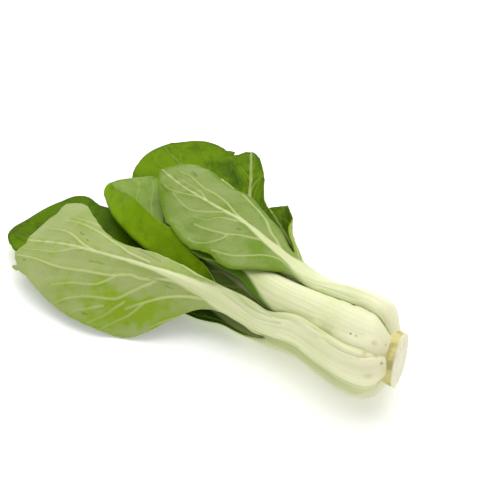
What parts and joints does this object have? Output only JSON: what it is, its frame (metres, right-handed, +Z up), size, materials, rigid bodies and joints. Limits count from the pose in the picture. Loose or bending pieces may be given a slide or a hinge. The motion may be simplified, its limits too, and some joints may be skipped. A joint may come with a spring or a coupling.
{
  "type": "bok choy",
  "caption": "Whole head of bok choy lying on its side: a cut stem, thick crescent stalks packed round it, and waved blades, one of them folded over.",
  "frame": {"origin": "on the ground plane, under the middle of the head's box", "axes": "+X along the head towards its cut stem, -X towards the leaf tips, -Y towards the viewer's near side, +Z up off the surface it lies on"},
  "size_m": [0.3142, 0.2226, 0.0647],
  "materials": {
    "stem": "freshly cut cream stem flesh",
    "leaf_outer_side": "dull waxy sage back of a leaf with pale green stalk and raised veins",
    "leaf_inner_side": "satin bright green face of a leaf with white veins and pale stalk"
  },
  "bodies": {
    "root": {"stem": "stem", "leaf_heart_a": "leaf_outer_side", "leaf_heart_b": "leaf_inner_side", "leaf_inner_far": "leaf_inner_side", "leaf_inner": "leaf_inner_side", "leaf_shaded": "leaf_inner_side", "leaf_folded": "leaf_inner_side", "leaf_far": "leaf_inner_side", "leaf_bottom": "leaf_inner_side", "leaf_middle": "leaf_outer_side", "leaf_top": "leaf_outer_side", "leaf_near": "leaf_outer_side"}
  },
  "joints": []
}
